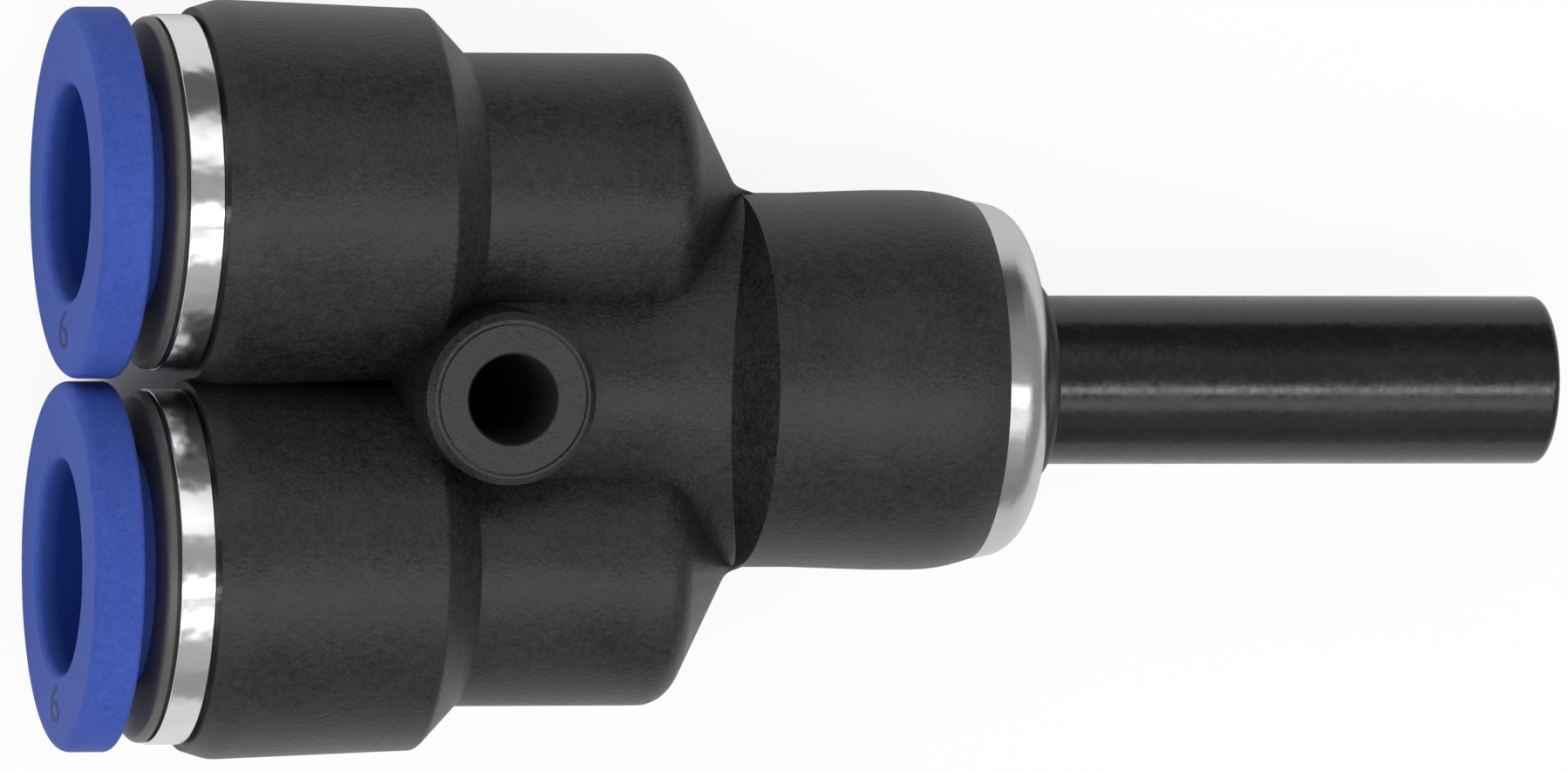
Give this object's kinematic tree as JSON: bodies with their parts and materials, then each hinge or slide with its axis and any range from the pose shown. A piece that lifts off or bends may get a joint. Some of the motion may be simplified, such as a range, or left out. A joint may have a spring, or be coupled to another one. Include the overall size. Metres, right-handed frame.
{
  "type": "tubing y connector",
  "caption": "Push-in Y connector with two side-by-side tube ports, press-to-release collars and a swivelling plug-in stem.",
  "frame": {"origin": "middle of the cross hole, halfway between the port axes", "axes": "+X along the stem, away from the ports; +Z along the cross hole; the ports lie at plus and minus Y"},
  "size_m": [0.0541, 0.0268, 0.0136],
  "materials": {
    "body_plastic": "fine-grained black moulding",
    "collar_plastic": "satin blue moulding",
    "bush_plastic": "satin dark grey moulding",
    "plated_ring": "bright nickel plating on brass",
    "spring_steel": "bright stainless spring strip",
    "seat_plastic": "plain natural moulding",
    "seal_rubber": "black nitrile rubber",
    "stem_plastic": "glossy black moulding"
  },
  "bodies": {
    "fitting": {"body": "body_plastic", "guide_bush_a": "bush_plastic", "port_ring_a": "plated_ring", "grip_ring_a": "spring_steel", "claw_seat_a": "seat_plastic", "seal_washer_a": "seat_plastic", "tube_seal_a": "seal_rubber", "guide_bush_b": "bush_plastic", "port_ring_b": "plated_ring", "grip_ring_b": "spring_steel", "claw_seat_b": "seat_plastic", "seal_washer_b": "seat_plastic", "tube_seal_b": "seal_rubber", "stem_ring": "plated_ring", "stem_bush": "stem_plastic", "stem_seal": "seal_rubber", "stem_seal_washer": "seat_plastic"},
    "collar_a": {"release_collar_a": "collar_plastic"},
    "collar_b": {"release_collar_b": "collar_plastic"},
    "plug": {"stem": "stem_plastic"}
  },
  "joints": [
    {"name": "collar_a_press", "type": "slide", "parent": "fitting", "child": "collar_a", "axis": [1, 0, 0], "range_m": [0, 0.0008], "stiffness_N_per_m": 2000},
    {"name": "collar_b_press", "type": "slide", "parent": "fitting", "child": "collar_b", "axis": [1, 0, 0], "range_m": [0, 0.0008], "stiffness_N_per_m": 2000},
    {"name": "stem_swivel", "type": "hinge", "parent": "fitting", "child": "plug", "pos_m": [0.01802, 0, 0], "axis": [1, 0, 0], "continuous": true}
  ]
}
